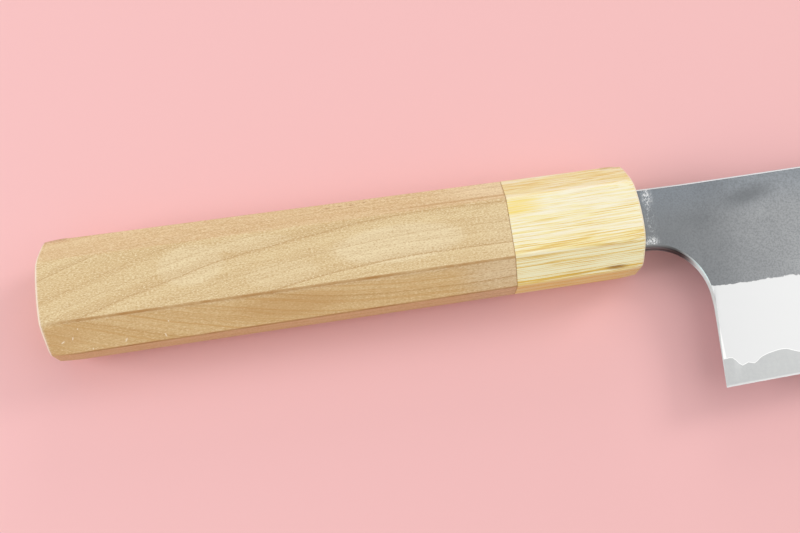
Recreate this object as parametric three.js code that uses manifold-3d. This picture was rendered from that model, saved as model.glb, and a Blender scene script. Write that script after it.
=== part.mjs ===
// Santoku knife with an octagonal two-piece wooden handle, lying on its left side.
// Millimetres. X runs from the butt to the tip, Y from the edge to the spine, Z up through the thickness.
// While it is drawn, x = 0 is the crown of the ferrule's mouth, y = 0 the handle's axis and z = 0 the surface
// that it lies on.
import * as THREE from "three";
import { mergeVertices } from "three/addons/utils/BufferGeometryUtils.js";
import Module from "manifold-3d";

// Driving dimensions of the handle
const gripLength = 100.9; // seam to the crown of the butt
const ferruleLength = 28.2; // seam to the crown of the mouth
const handleThickness = 19.3; // across the two side flats, the same from butt to mouth
const buttHeight = 25.58; // across the spine and edge flats, at the butt
const mouthHeight = 23.1; // the same at the mouth
const buttChamfer = 6; // leg of the 45 degree facets at the butt
const mouthChamfer = 5.2;
const buttCrown = 0.85; // the butt's face bulges by this much over half the handle's height
const mouthCrown = 1.1; // the same at the mouth
const crownOffset = -2; // from the handle's axis to where both ends stand out furthest
const buttRound = 0.8; // radius that eases the rim of the butt
const mouthRound = 0.6; // radius that eases the rim of the mouth
const ridgeEase = 0.3; // the ridges are sanded down by this much at both rims
const ridgeEaseRun = 6; // along which they soften towards a rim

// Driving dimensions of the blade
const bladeLength = 165; // heel to tip
const heelHeight = 45.4; // spine to edge at the heel
const heelThickness = 2.9; // of the spine above the heel
const shinogiThickness = 2.5; // where the flat meets the wide bevel, at the heel
const tipThickness = 0.9; // of the spine at the tip
const bevelHeight = 22; // edge to shinogi, at the heel
const edgeBevelHeight = 0.5; // the narrow sharpening bevel
const edgeBevelThickness = 0.24; // at the top of the sharpening bevel
const spineRound = 0.35; // radius that eases the spine
const spineOffset = 6.2; // spine above the handle's axis at the mouth
const spineRise = 0.6; // degrees, the straight stretch of the spine against the handle's axis
const spineStraight = 98.7; // mouth to where the spine starts to drop
const tipDrop = 35; // tip below the straight spine
const edgeRise = 2.5; // degrees, the edge at the heel against the handle's axis
const tipEdgeRise = 12.5; // degrees, the edge at the tip
const shinogiFall = 1; // degrees, the shinogi at the heel
const tipShinogiFall = 25; // degrees, the shinogi at the tip
const tipSpineFall = 53; // degrees, the spine at the tip
const tipHeight = 1.2; // the tip is blunt by this much
const heelLean = 3.3; // degrees, the heel's foot leans back towards the handle
const heelEase = 0.25; // the heel's face starts this far behind the bevel
const laminationFade = 24; // blade height under which the core's line closes in on the edge

// How far the slopes at the two ends of an outline carry, as shares of its run: heel end, tip end
const spinePull = [0.48, 0.2];
const shinogiPull = [0.5, 0.24];
const edgePull = [0.4, 0.24];

// Driving dimensions of the neck and the tang
const neckHeight = 13.1;
const neckThickness = 5; // at the mouth, from where it closes in to the flats along the choil
const neckFlare = 1.5; // power of the curve by which it closes in
const neckStraight = 1.7; // mouth to the start of the choil's curve
const choilRun = 12.1; // the choil's curve along X
const choilDrop = 13.1; // the choil's curve along Y
const choilRound = 0.6; // radius that eases the choil and the neck's lower corners
const neckInset = 4; // the neck reaches this far into the ferrule
const shoulderRun = 1.5; // the slope from neck to tang
const tangLength = 92; // mouth to the tang's end
const tangThickness = 2.6;
const tangRootHeight = 9;
const tangEndHeight = 5.5;

// Driving dimensions of the hidden joint
const ferruleWall = 8; // solid wood between the mouth and the dowel's hole
const dowelInGrip = 40;
const dowelWall = 1.3; // wood left outside the corners of the tang's slot
const resinCheek = 1; // resin on each side of the tang
const resinEdge = 0.7; // resin above and below the tang's root
const resinEnd = 2; // resin behind the tang's end
const fitGap = 0.25; // around the neck, the dowel and the tang's narrow sides
const endGap = 0.5; // at the bottom of a blind hole
const overcut = 1; // a cutting shape reaches this far past the face it opens

// The forged line where the core steel shows: distance from the heel and height above the edge.
// It is drawn for the right face and runs the other way on the left.
const laminationLine = new THREE.SplineCurve(
  [
    [0, 6.0], [2, 6.0], [3.8, 4.1], [5.2, 4.5], [6.7, 4.1], [8.2, 5.1], [10.4, 5.7], [13.6, 5.9],
    [17.2, 4.7], [22, 5.6], [29, 4.5], [36, 5.9], [42, 5.3], [50, 6.2], [58, 4.9], [66, 5.5], [73, 4.6],
    [82, 6.0], [92, 5.1], [101, 5.8], [110, 4.7], [120, 5.9], [131, 5.2], [143, 5.8], [154, 5.0], [165, 5.6],
  ].map(([along, height]) => new THREE.Vector2(along, height)),
);

// Places worked out from the dimensions
const slope = (degrees) => Math.tan(THREE.MathUtils.degToRad(degrees));
const middle = handleThickness / 2; // the blade's mid-plane
const handleLength = gripLength + ferruleLength;
const neckLow = spineOffset - neckHeight;
const straightSpine = (x) => spineOffset + x * slope(spineRise);
const choilEnd = new THREE.Vector2(neckStraight + choilRun, neckLow - choilDrop);
const lean = slope(heelLean);
const heelY = straightSpine(choilEnd.x) - heelHeight;
const heelX = choilEnd.x + lean * (heelY - choilEnd.y) + heelEase;
const tipX = heelX + bladeLength;
const tipY = straightSpine(spineStraight) - tipDrop;

// Spine, shinogi and edge outlines: each is a cubic whose ends have the slopes given above.
function outline(start, startSlope, end, endSlope, pull) {
  const [ahead, behind] = pull.map((share) => share * (end.x - start.x));
  return new THREE.CubicBezierCurve(
    start,
    new THREE.Vector2(start.x + ahead, start.y + ahead * startSlope),
    new THREE.Vector2(end.x - behind, end.y - behind * endSlope),
    end,
  );
}
const spineCurve = outline(
  new THREE.Vector2(spineStraight, straightSpine(spineStraight)),
  slope(spineRise),
  new THREE.Vector2(tipX, tipY + tipHeight / 2),
  -slope(tipSpineFall),
  spinePull,
);
const shinogiCurve = outline(
  new THREE.Vector2(heelX, heelY + bevelHeight),
  -slope(shinogiFall),
  new THREE.Vector2(tipX, tipY),
  -slope(tipShinogiFall),
  shinogiPull,
);
const edgeCurve = outline(
  new THREE.Vector2(heelX, heelY),
  slope(edgeRise),
  new THREE.Vector2(tipX, tipY - tipHeight / 2),
  slope(tipEdgeRise),
  edgePull,
);

// Y of a curve that runs along X, at a given x.
function heightOn(curve, x) {
  let low = 0;
  let high = 1;
  for (let i = 0; i < 40; i++) {
    const half = (low + high) / 2;
    if (curve.getPoint(half).x < x) low = half;
    else high = half;
  }
  return curve.getPoint((low + high) / 2).y;
}
const spineY = (x) => (x < spineStraight ? straightSpine(x) : heightOn(spineCurve, x));
const shinogiY = (x) => heightOn(shinogiCurve, x);
const edgeY = (x) => heightOn(edgeCurve, x);

// Y where the leaning line x = foot + lean * y meets an outline.
function meet(outlineY, foot) {
  let y = 0;
  for (let i = 0; i < 20; i++) y = outlineY(foot + lean * y);
  return y;
}

// Half the thickness of the flats, which are true planes that close in towards the shinogi and the tip.
const heelSpine = straightSpine(heelX);
const heightFall = (heelThickness - shinogiThickness) / 2 / (heelSpine - heelY - bevelHeight);
const distalFall =
  ((heelThickness - tipThickness) / 2 - heightFall * (heelSpine - tipY)) / bladeLength;
const flatHalf = (x, y) => heelThickness / 2 - distalFall * (x - heelX) - heightFall * (heelSpine - y);

// Half the thickness of the neck, which flares from the end of the choil to the mouth.
const mouthFlare = neckThickness / 2 - flatHalf(0, spineOffset);
const neckHalf = (x, y) =>
  flatHalf(x, y) + mouthFlare * THREE.MathUtils.clamp(1 - x / choilEnd.x, 0, 1) ** neckFlare;

// A station is a leaning line x = foot + lean * y. A point on it has a height and half a thickness.
const point = (y, half) => ({ y, half });

// One side of the blade: the sharpening bevel, the lamination line and three points up the wide bevel.
function bladeSide(foot, share) {
  const low = meet(edgeY, foot);
  const top = meet(spineY, foot);
  const fade = Math.min(1, (top - low) / laminationFade);
  const shinogiHeight = meet(shinogiY, foot);
  const shinogi = point(shinogiHeight, flatHalf(foot + lean * shinogiHeight, shinogiHeight));
  const edgeBevel = point(low + edgeBevelHeight * fade, (edgeBevelThickness / 2) * fade);
  const onBevel = (y) =>
    point(y, THREE.MathUtils.mapLinear(y, edgeBevel.y, shinogi.y, edgeBevel.half, shinogi.half));
  const drawn = heightOn(laminationLine, share * laminationLine.points.at(-1).x);
  const lamination = onBevel(low + drawn * fade);
  const rise = shinogi.y - lamination.y;
  const corner = [onBevel(lamination.y + rise / 3), onBevel(lamination.y + (rise * 2) / 3), shinogi];
  return { low, top, edgeBevel, lamination, corner, halfAt: (y) => flatHalf(foot + lean * y, y) };
}

// One side of the neck or the tang: a flat with an eased lower corner. The layers run down to the lower face.
function barSide(low, top, halfAt, layer) {
  const ease = choilRound * (1 - Math.SQRT1_2);
  const half = halfAt(low + choilRound);
  const corner = [
    point(low, half - choilRound),
    point(low + ease, half - ease),
    point(low + choilRound, half),
  ];
  return { low, top, edgeBevel: point(low, layer / 2), lamination: point(low, layer), corner, halfAt };
}

// Three points round the spine's eased corner, ending on the top face, and the core's own top corner.
function spineCorner({ top, halfAt, lamination }) {
  const round = Math.min(spineRound, (halfAt(top) - lamination.half) / 2);
  const ease = round * (1 - Math.SQRT1_2);
  const half = halfAt(top - round);
  return [
    point(top - round, half),
    point(top - ease, half - ease),
    point(top, half - round),
    point(top, lamination.half),
  ];
}

// Stations from the tang's end to the tip. Each has a right and a left side, whose lamination lines differ.
function bladeStations() {
  const heelFoot = heelX - lean * heelY;
  const tipFoot = tipX - lean * tipY;
  const layers = {
    right: bladeSide(heelFoot, 0).lamination.half,
    left: bladeSide(heelFoot, 1).lamination.half,
  };
  const bar = (foot, tilt, low, top, halfAt) => ({
    foot,
    tilt,
    right: barSide(low, top, halfAt, layers.right),
    left: barSide(low, top, halfAt, layers.left),
  });
  const tang = (x, height) => bar(x, 0, -height / 2, height / 2, () => tangThickness / 2);
  const neck = (x) => bar(x, 0, neckLow, straightSpine(x), (y) => neckHalf(x, y));
  const choil = (x, low) => {
    const foot = x - lean * low;
    return bar(foot, lean, low, meet(spineY, foot), (y) => neckHalf(foot + lean * y, y));
  };

  const stations = [tang(-tangLength, tangEndHeight), tang(-neckInset - shoulderRun, tangRootHeight)];
  stations.push(neck(-neckInset), neck(0));
  const choilSteps = 24;
  for (let i = 0; i <= choilSteps; i++) {
    const turn = (i / choilSteps) * (Math.PI / 2);
    const x = neckStraight + choilRun * Math.sin(turn);
    const low = neckLow - choilDrop * (1 - Math.cos(turn));
    stations.push(choil(x, low));
  }
  const fineShare = 0.12; // the stretch by the heel, where the stations stand closer
  const fineSteps = 30;
  const coarseSteps = 70;
  for (let i = 0; i <= fineSteps + coarseSteps; i++) {
    const share =
      i < fineSteps
        ? (fineShare * i) / fineSteps
        : fineShare + ((1 - fineShare) * (i - fineSteps)) / coarseSteps;
    const foot = THREE.MathUtils.lerp(heelFoot, tipFoot, share);
    stations.push({
      foot,
      tilt: lean,
      right: bladeSide(foot, share),
      left: bladeSide(foot, 1 - share),
    });
  }
  return stations;
}

// Rings of each layer. A ring runs anticlockwise seen from the tip: Y to the right, Z up.
const place = ({ foot, tilt }, sign) => ({ y, half }) =>
  new THREE.Vector3(foot + tilt * y, y, middle + sign * half);

function coreRing(station) {
  const { right, left } = station;
  const onRight = place(station, 1);
  const onLeft = place(station, -1);
  return [
    onLeft(point(left.low, 0)),
    onLeft(left.edgeBevel),
    onLeft(left.lamination),
    onLeft(point(left.top, left.lamination.half)),
    onRight(point(right.top, right.lamination.half)),
    onRight(right.lamination),
    onRight(right.edgeBevel),
  ];
}

function claddingRing(station, side, sign) {
  const ring = [side.lamination, ...side.corner, ...spineCorner(side)].map(place(station, sign));
  return sign > 0 ? ring.reverse() : ring;
}

// Triangles that fill a ring seen along X.
const flatCap = (ring) =>
  THREE.ShapeUtils.triangulateShape(ring.map((p) => new THREE.Vector2(p.y, p.z)), []);

// A closed solid through rings of equally many points. Each quad is split along its shorter diagonal.
// The ends are closed by cap, which gives the triangles that fill a ring.
function loft(rings, cap = flatCap) {
  const count = rings[0].length;
  const position = rings.flat().flatMap((p) => [p.x, p.y, p.z]);
  const index = [];
  for (let k = 0; k + 1 < rings.length; k++) {
    for (let j = 0; j < count; j++) {
      const next = (j + 1) % count;
      const [a, b, c, d] = [[k, j], [k, next], [k + 1, next], [k + 1, j]];
      const at = ([ring, i]) => rings[ring][i];
      const number = ([ring, i]) => ring * count + i;
      const quad =
        at(a).distanceToSquared(at(c)) <= at(b).distanceToSquared(at(d))
          ? [a, b, c, a, c, d]
          : [a, b, d, b, c, d];
      index.push(...quad.map(number));
    }
  }
  for (const [a, b, c] of cap(rings[0])) index.push(a, c, b);
  const last = (rings.length - 1) * count;
  for (const triangle of cap(rings.at(-1))) index.push(...triangle.map((i) => last + i));
  return new THREE.BufferGeometry()
    .setAttribute("position", new THREE.Float32BufferAttribute(position, 3))
    .setIndex(index);
}

// Upper half of the handle's octagon at x, from the spine flat to the edge flat, drawn in by inset all round.
// Its facets taper evenly from butt to mouth, and each is cut into short steps that can follow a crown.
// Ease is how far the ridges between the facets are sanded down.
function upperOctagon(x, inset, ease) {
  const along = (x + handleLength) / handleLength;
  const high = THREE.MathUtils.lerp(buttHeight, mouthHeight, along) / 2 - inset;
  const wide = handleThickness / 2 - inset;
  const chamfer = THREE.MathUtils.lerp(buttChamfer, mouthChamfer, along) - inset * (2 - Math.SQRT2);
  const corners = [
    [high, wide - chamfer],
    [high - chamfer, wide],
    [chamfer - high, wide],
    [-high, wide - chamfer],
  ].map(([y, z]) => new THREE.Vector3(x, y, z));
  const ridges = corners.map(({ y, z }) => {
    const share = 1 - ease / Math.hypot(y, z);
    return new THREE.Vector3(x, y * share, z * share);
  });
  const stepsOnFacets = [5, 8, 5];
  const points = stepsOnFacets.flatMap((steps, i) => [
    ridges[i],
    ...Array.from({ length: steps - 1 }, (_, k) => corners[i].clone().lerp(corners[i + 1], (k + 1) / steps)),
  ]);
  return [...points, ridges.at(-1)];
}

// Ring round the handle at x. Crown is how far along X the ring lies back at half the handle's height.
function handleRing(x, { inset = 0, crown = 0, ease = 0 } = {}) {
  const upper = upperOctagon(x, inset, ease).map(({ y }, i, [onSpineFlat]) => {
    const crowned = x + crown * ((y - crownOffset) / onSpineFlat.y) ** 2;
    return upperOctagon(crowned, inset, ease)[i];
  });
  const lower = upper.map((p) => new THREE.Vector3(p.x, p.y, -p.z)).reverse();
  return [...upper, ...lower].map((p) => p.setZ(middle + p.z));
}

// Rings of a crowned end: first the ridges soften, then a quarter circle turns over the rim.
// Inward is the way into the wood.
function easedEnd(end, inward, radius, crown) {
  const softSteps = 5;
  const rimSteps = 5;
  const softening = Array.from({ length: softSteps }, (_, i) => {
    const share = i / softSteps;
    const x = end + inward * (radius + ridgeEaseRun * (1 - share));
    return handleRing(x, { crown: inward * crown * share, ease: ridgeEase * share ** 2 });
  });
  const rim = Array.from({ length: rimSteps + 1 }, (_, i) => {
    const turn = (i / rimSteps) * (Math.PI / 2);
    const x = end + inward * radius * (1 - Math.sin(turn));
    return handleRing(x, { inset: radius * (1 - Math.cos(turn)), crown: inward * crown, ease: ridgeEase });
  });
  return [...softening, ...rim];
}

// Fills a handle's ring with strips from its upper half straight down to its lower half.
function crownCap(ring) {
  const last = ring.length - 1;
  return ring
    .slice(1, ring.length / 2)
    .flatMap((_, i) => [[i, i + 1, last - i], [i + 1, last - i - 1, last - i]]);
}

// Joins and cuts
const wasm = await Module();
wasm.setup();

function solid(geometry) {
  const bare = geometry.clone();
  bare.deleteAttribute("normal");
  bare.deleteAttribute("uv");
  const merged = mergeVertices(bare);
  return new wasm.Manifold(
    new wasm.Mesh({
      numProp: 3,
      vertProperties: new Float32Array(merged.attributes.position.array),
      triVerts: new Uint32Array(merged.index.array),
    }),
  );
}

function cut(body, ...tools) {
  const left = tools.reduce((rest, tool) => rest.subtract(solid(tool)), solid(body));
  const mesh = left.getMesh();
  return new THREE.BufferGeometry()
    .setAttribute("position", new THREE.BufferAttribute(mesh.vertProperties, 3))
    .setIndex(new THREE.BufferAttribute(mesh.triVerts, 1));
}

// A block between two x, and between low and high in Y, centred on the blade's mid-plane.
function block(fromX, toX, low, high, thickness) {
  return new THREE.BoxGeometry(toX - fromX, high - low, thickness).translate(
    (fromX + toX) / 2,
    (low + high) / 2,
    middle,
  );
}

// A round bar along X on the handle's axis.
function roundBar(fromX, toX, radius) {
  const sides = 32;
  return new THREE.CylinderGeometry(radius, radius, toX - fromX, sides)
    .rotateZ(Math.PI / 2)
    .translate((fromX + toX) / 2, 0, middle);
}

// The hidden joint: one slot holds the tang and its resin, and runs through the dowel into the grip.
const slotHalf = tangRootHeight / 2 + resinEdge;
const slotThickness = tangThickness + 2 * resinCheek;
const slotEnd = -tangLength - resinEnd;
const dowelRadius = Math.hypot(slotHalf, slotThickness / 2) + dowelWall;
const dowelFront = -ferruleWall - endGap;
const dowelBack = -ferruleLength - dowelInGrip;

function grip() {
  const butt = easedEnd(-handleLength, 1, buttRound, buttCrown).reverse();
  const body = loft([...butt, handleRing(-ferruleLength)], crownCap);
  return cut(
    body,
    roundBar(dowelBack - endGap, -ferruleLength + overcut, dowelRadius + fitGap),
    block(slotEnd, dowelBack, -slotHalf, slotHalf, slotThickness),
  );
}

function ferrule() {
  const mouth = easedEnd(0, -1, mouthRound, mouthCrown);
  const body = loft([handleRing(-ferruleLength), ...mouth], crownCap);
  return cut(
    body,
    roundBar(-ferruleLength - overcut, -ferruleWall, dowelRadius + fitGap),
    block(
      -ferruleWall - overcut,
      overcut,
      neckLow - fitGap,
      straightSpine(overcut) + fitGap,
      2 * (neckHalf(-neckInset, spineOffset) + fitGap),
    ),
  );
}

function dowel() {
  return cut(
    roundBar(dowelBack, dowelFront, dowelRadius),
    block(dowelBack - overcut, dowelFront + overcut, -slotHalf, slotHalf, slotThickness),
  );
}

function resin() {
  const rootX = -neckInset - shoulderRun;
  const tangRing = (x, height) => {
    const high = height / 2 + fitGap;
    const wide = tangThickness / 2;
    return [
      [-high, -wide],
      [high, -wide],
      [high, wide],
      [-high, wide],
    ].map(([y, z]) => new THREE.Vector3(x, y, middle + z));
  };
  return cut(
    block(slotEnd, dowelFront, -slotHalf, slotHalf, slotThickness),
    loft([tangRing(-tangLength - fitGap, tangEndHeight), tangRing(rootX, tangRootHeight)]),
  );
}

// Finishes
const finish = (color, roughness, metalness) =>
  new THREE.MeshStandardMaterial({ color, roughness, metalness });
const coreSteel = finish(0xc4c6c7, 0.35, 1);
const claddingSteel = finish(0x85898c, 0.5, 1);
const gripWood = finish(0xcfa873, 0.6, 0);
const ferruleWood = finish(0xf0d795, 0.55, 0);
const dowelWood = finish(0xd9c3a0, 0.7, 0);
const amberResin = finish(0x8a5a24, 0.4, 0);

const knife = new THREE.Group();
knife.name = "santoku_knife";

function add(name, geometry, material) {
  const mesh = new THREE.Mesh(geometry, material);
  mesh.name = name;
  knife.add(mesh);
}

const stations = bladeStations();
add("blade_core", loft(stations.map(coreRing)), coreSteel);
add("cladding_right", loft(stations.map((s) => claddingRing(s, s.right, 1))), claddingSteel);
add("cladding_left", loft(stations.map((s) => claddingRing(s, s.left, -1))), claddingSteel);
add("grip", grip(), gripWood);
add("ferrule", ferrule(), ferruleWood);
add("handle_dowel", dowel(), dowelWood);
add("tang_resin", resin(), amberResin);

// The origin goes under the middle of the knife's outline, on the surface it lies on.
const centre = new THREE.Box3().setFromObject(knife).getCenter(new THREE.Vector3());
knife.position.set(-centre.x, -centre.y, 0);

export default knife;
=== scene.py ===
import math
from bisect import bisect_right

import bmesh
import bpy
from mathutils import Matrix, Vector


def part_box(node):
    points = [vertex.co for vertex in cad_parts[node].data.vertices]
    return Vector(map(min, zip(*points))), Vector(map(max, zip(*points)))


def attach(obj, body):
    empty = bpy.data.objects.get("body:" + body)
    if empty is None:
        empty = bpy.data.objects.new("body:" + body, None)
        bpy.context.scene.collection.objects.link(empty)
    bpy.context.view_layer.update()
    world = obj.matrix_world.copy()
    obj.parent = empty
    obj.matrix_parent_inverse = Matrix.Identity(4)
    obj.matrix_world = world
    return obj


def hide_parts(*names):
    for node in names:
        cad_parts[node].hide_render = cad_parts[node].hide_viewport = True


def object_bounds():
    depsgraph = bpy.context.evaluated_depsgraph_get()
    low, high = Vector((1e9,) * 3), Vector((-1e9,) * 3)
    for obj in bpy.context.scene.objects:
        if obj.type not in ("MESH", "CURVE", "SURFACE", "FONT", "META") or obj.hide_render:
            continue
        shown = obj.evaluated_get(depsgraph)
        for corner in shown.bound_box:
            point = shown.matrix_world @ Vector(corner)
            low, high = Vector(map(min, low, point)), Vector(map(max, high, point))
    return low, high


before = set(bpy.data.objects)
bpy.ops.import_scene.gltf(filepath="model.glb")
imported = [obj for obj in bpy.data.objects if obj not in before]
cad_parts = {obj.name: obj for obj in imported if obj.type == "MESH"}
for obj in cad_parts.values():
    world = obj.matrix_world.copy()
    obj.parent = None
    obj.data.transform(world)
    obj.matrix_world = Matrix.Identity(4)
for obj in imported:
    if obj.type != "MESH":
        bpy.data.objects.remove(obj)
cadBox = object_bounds()
scene = bpy.context.scene
mm = 0.001
mergeDistance = 0.002 * mm


def srgb(red, green, blue):
    linear = [c / 12.92 if c <= 0.04045 else ((c + 0.055) / 1.055) ** 2.4
              for c in (red / 255, green / 255, blue / 255)]
    return (*linear, 1.0)


# Places taken from the frame

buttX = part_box("grip")[0].x
ferruleLow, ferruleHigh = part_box("ferrule")
seamX = ferruleLow.x
mouthX = ferruleHigh.x
axisY = (ferruleLow.y + ferruleHigh.y) / 2
axisZ = (ferruleLow.z + ferruleHigh.z) / 2
knifeLength = cadBox[1].x - cadBox[0].x
print("frame: knife", round(knifeLength / mm, 1), "mm long, seam at", round(seamX / mm, 1))


# Camera

pictureView = {
    "aim": (mouthX - 52.58 * mm, axisY - 5.01 * mm, 19.27 * mm),
    "distance": 280 * mm,
    "tilt": 12.29,  # degrees off straight down
    "turn": 8.21,  # degrees about the upright
    "lens": 59.98,
    "sensor": 36,
    "nearest": 1 * mm,
}


def addCamera(settings):
    data = bpy.data.cameras.new("pictureCamera")
    data.lens = settings["lens"]
    data.sensor_width = settings["sensor"]
    data.clip_start = settings["nearest"]
    camera = bpy.data.objects.new("pictureCamera", data)
    scene.collection.objects.link(camera)
    camera.rotation_euler = (math.radians(settings["tilt"]), 0, -math.radians(settings["turn"]))
    back = camera.rotation_euler.to_matrix() @ Vector((0, 0, 1))
    camera.location = Vector(settings["aim"]) + settings["distance"] * back
    scene.camera = camera


addCamera(pictureView)
print("camera: placed over the handle")


# Studio

studio = {
    "floorColour": srgb(241, 190, 191),
    "floorRoughness": 0.9,
    "floorSpecular": 0.2,
    "floorSize": 6.0,
    "skyColour": srgb(252, 250, 248),
    "skyStrength": 0.48,
}
softboxes = {
    "overheadPanel": {"from": (0.55, 0.0, 0.85), "size": 1.0, "watts": 2.9, "colour": srgb(255, 253, 250)},
    "keyBox": {"from": (0.9, 0.45, 0.7), "size": 0.4, "watts": 3.9, "colour": srgb(255, 251, 245)},
    "buttBox": {"from": (-0.8, 0.0, 0.42), "size": 0.4, "watts": 3.6, "colour": srgb(252, 253, 255)},
    "spineBox": {"from": (0.15, 0.9, 0.4), "size": 0.4, "watts": 1.2, "colour": srgb(255, 253, 250)},
}


def addFloor(settings):
    bm = bmesh.new()
    bmesh.ops.create_grid(bm, x_segments=1, y_segments=1, size=settings["floorSize"] / 2)
    mesh = bpy.data.meshes.new("studioFloor")
    bm.to_mesh(mesh)
    bm.free()
    floor = bpy.data.objects.new("studioFloor", mesh)
    scene.collection.objects.link(floor)
    paper = bpy.data.materials.new("palePaper")
    paper.use_nodes = True
    surface = paper.node_tree.nodes["Principled BSDF"]
    surface.inputs["Base Color"].default_value = settings["floorColour"]
    surface.inputs["Roughness"].default_value = settings["floorRoughness"]
    surface.inputs["Specular IOR Level"].default_value = settings["floorSpecular"]
    mesh.materials.append(paper)


def addSoftbox(name, settings):
    data = bpy.data.lights.new(name, "AREA")
    data.shape = "SQUARE"
    data.size = settings["size"]
    data.energy = settings["watts"]
    data.color = settings["colour"][:3]
    box = bpy.data.objects.new(name, data)
    scene.collection.objects.link(box)
    box.location = settings["from"]
    box.rotation_euler = Vector(settings["from"]).to_track_quat("Z", "Y").to_euler()
    box.visible_camera = False


def addSky(settings):
    world = bpy.data.worlds.new("studioSky")
    world.use_nodes = True
    background = world.node_tree.nodes["Background"]
    background.inputs["Color"].default_value = settings["skyColour"]
    background.inputs["Strength"].default_value = settings["skyStrength"]
    scene.world = world


addFloor(studio)
addSky(studio)
for boxName, boxSettings in softboxes.items():
    addSoftbox(boxName, boxSettings)
scene.view_settings.view_transform = "Standard"
print("studio: floor, sky and", len(softboxes), "softboxes")


# Small helpers for shader trees

noiseMiddle = 0.5  # the value that a noise swings about


def put(tree, kind, values=None, **properties):
    node = tree.nodes.new("ShaderNode" + kind)
    for name, value in properties.items():
        setattr(node, name, value)
    for name, value in (values or {}).items():
        plug(tree, node.inputs[name], value)
    return node


def plug(tree, socket, value):
    if isinstance(value, bpy.types.NodeSocket):
        tree.links.new(value, socket)
    else:
        socket.default_value = value


def calc(tree, operation, first, second=0.0):
    return put(tree, "Math", {0: first, 1: second}, operation=operation).outputs[0]


def product(tree, first, *others):
    for other in others:
        first = calc(tree, "MULTIPLY", first, other)
    return first


def fade(tree, value, low, high, toLow=0.0, toHigh=1.0):
    limits = {"Value": value, "From Min": low, "From Max": high, "To Min": toLow, "To Max": toHigh}
    return put(tree, "MapRange", limits, interpolation_type="SMOOTHSTEP").outputs[0]


def peak(tree, value, place, width):
    # 1 at a place, falling to 0 at a width to either side of it.
    off = calc(tree, "ABSOLUTE", calc(tree, "SUBTRACT", value, place))
    return fade(tree, off, 0.0, width, 1.0, 0.0)


def tint(tree, share, first, second):
    return put(tree, "Mix", {0: share, 6: first, 7: second}, data_type="RGBA").outputs[2]


def blend(tree, share, first, second):
    return put(tree, "Mix", {0: share, 2: first, 3: second}, data_type="FLOAT").outputs[0]


def stretch(tree, position, scale, shift=(0, 0, 0)):
    return put(tree, "Mapping", {"Vector": position, "Scale": scale, "Location": shift}).outputs[0]


def spot(tree, place, centre, radii, inner, turn=0.0):
    # 1 out to an inner share of an ellipsoid's radii, falling to 0 at its skin.
    spin = (0, 0, math.radians(turn))
    values = {"Vector": place, "Location": centre, "Rotation": spin, "Scale": radii}
    local = put(tree, "Mapping", values, vector_type="TEXTURE").outputs[0]
    reach = put(tree, "VectorMath", {0: local}, operation="LENGTH").outputs["Value"]
    return fade(tree, reach, inner, 1.0, 1.0, 0.0)


def noise(tree, position, scale, detail, rough, distortion=0.0):
    values = {"Vector": position, "Scale": scale, "Detail": detail, "Roughness": rough}
    values["Distortion"] = distortion
    return put(tree, "TexNoise", values).outputs["Fac"]


def layers(tree, depth, scale, detail, rough):
    # Noise that changes with depth alone.
    values = {"W": depth, "Scale": scale, "Detail": detail, "Roughness": rough}
    return put(tree, "TexNoise", values, noise_dimensions="1D").outputs["Fac"]


def relief(tree, height, strength, distance):
    return put(tree, "Bump", {"Height": height, "Strength": strength, "Distance": distance}).outputs[0]


def attribute(tree, name):
    return put(tree, "Attribute", attribute_name=name).outputs["Fac"]


def axes(tree, place):
    return put(tree, "SeparateXYZ", {"Vector": place}).outputs


def newGroup(name, inputs, outputs):
    tree = bpy.data.node_groups.new(name, "ShaderNodeTree")
    for socketName, kind in inputs.items():
        tree.interface.new_socket(socketName, in_out="INPUT", socket_type="NodeSocket" + kind)
    for socketName in outputs:
        tree.interface.new_socket(socketName, in_out="OUTPUT", socket_type="NodeSocketFloat")
    return tree, tree.nodes.new("NodeGroupInput").outputs, tree.nodes.new("NodeGroupOutput").inputs


def useGroup(tree, group, values):
    node = tree.nodes.new("ShaderNodeGroup")
    node.node_tree = group
    for name, value in values.items():
        plug(tree, node.inputs[name], value)
    return node.outputs


def newFinish(name, origin):
    # A material, its tree and surface, and the place on the piece in millimetres from an origin.
    material = bpy.data.materials.new(name)
    material.use_nodes = True
    tree = material.node_tree
    position = put(tree, "TexCoord").outputs["Object"]
    away = put(tree, "VectorMath", {0: position, 1: origin}, operation="SUBTRACT").outputs[0]
    place = put(tree, "VectorMath", {0: away, 3: 1 / mm}, operation="SCALE").outputs[0]
    return material, tree, tree.nodes["Principled BSDF"], place


# Effects that several finishes share. A noise is given as scale, detail, roughness and any distortion.

fibreShape = {
    "streak": (1.0, 2.0, 0.6),
    "fine": (1.0, 3.0, 0.65),
    "fineStretch": (1.3, 2.4, 2.4),
    "fineShift": (3, 9, 5),
    "pore": (1.0, 1.0, 0.5),
    "poreStretch": (2.5, 2.2, 2.2),
    "poreShift": (7, 3, 1),
    "poreRange": (0.68, 0.8),  # noise where a pore starts and where it is open
}
shellShape = {
    "sway": (1.0, 2.0, 0.5),
    "swayStretch": (0.035, 0.12, 0.12),
}
steelShape = {
    "mottle": (5.0, 0.65),  # the finish gives the scale
    "cloud": (0.09, 3.0, 0.5, 0.4),
    "hair": (2.0, 0.6),  # the finish gives the scale
    "hairStretch": (0.02, 1, 1),
}


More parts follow.
